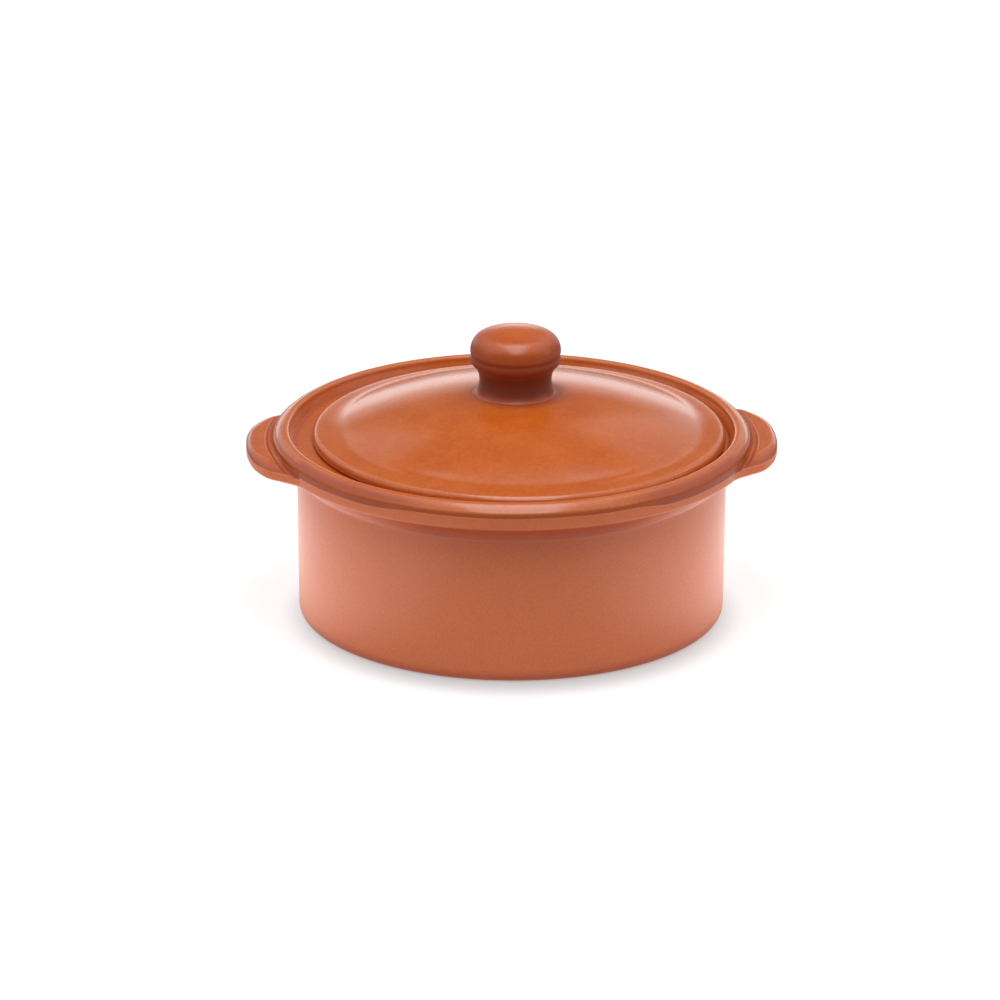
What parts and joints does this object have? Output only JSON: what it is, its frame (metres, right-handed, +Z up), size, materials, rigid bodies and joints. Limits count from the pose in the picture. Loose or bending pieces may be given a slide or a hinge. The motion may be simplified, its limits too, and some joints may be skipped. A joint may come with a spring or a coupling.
{
  "type": "casserole pot",
  "caption": "Round earthenware casserole with upright walls, lug handles on a rolled rim, and a lift-off domed lid with a turned knob that sits in a sunken gallery.",
  "frame": {"origin": "middle of the flat base, on the pot's own upright axis", "axes": "+Z up through the knob, +X along the line through the two lug handles"},
  "size_m": [0.2508, 0.226, 0.1387],
  "materials": {
    "pot_clay": "bare fired red earthenware outside, clear honey glaze on the rim, gallery and inside",
    "handle_clay": "clear honey glaze on top that pools in a brown line at the edge, bare clay below",
    "lid_glaze": "clear honey glaze over red earthenware, glossy, with a fine speckle",
    "knob_glaze": "clear honey glaze over red earthenware, glossy, darker where it pools at the neck"
  },
  "bodies": {
    "pot": {"pot_body": "pot_clay", "left_handle": "handle_clay", "right_handle": "handle_clay"},
    "cover": {"lid": "lid_glaze", "lid_knob": "knob_glaze"}
  },
  "joints": [
    {"name": "lid_lift", "type": "slide", "parent": "pot", "child": "cover", "axis": [0, 0, 1], "range_m": [0, 0.12]}
  ]
}
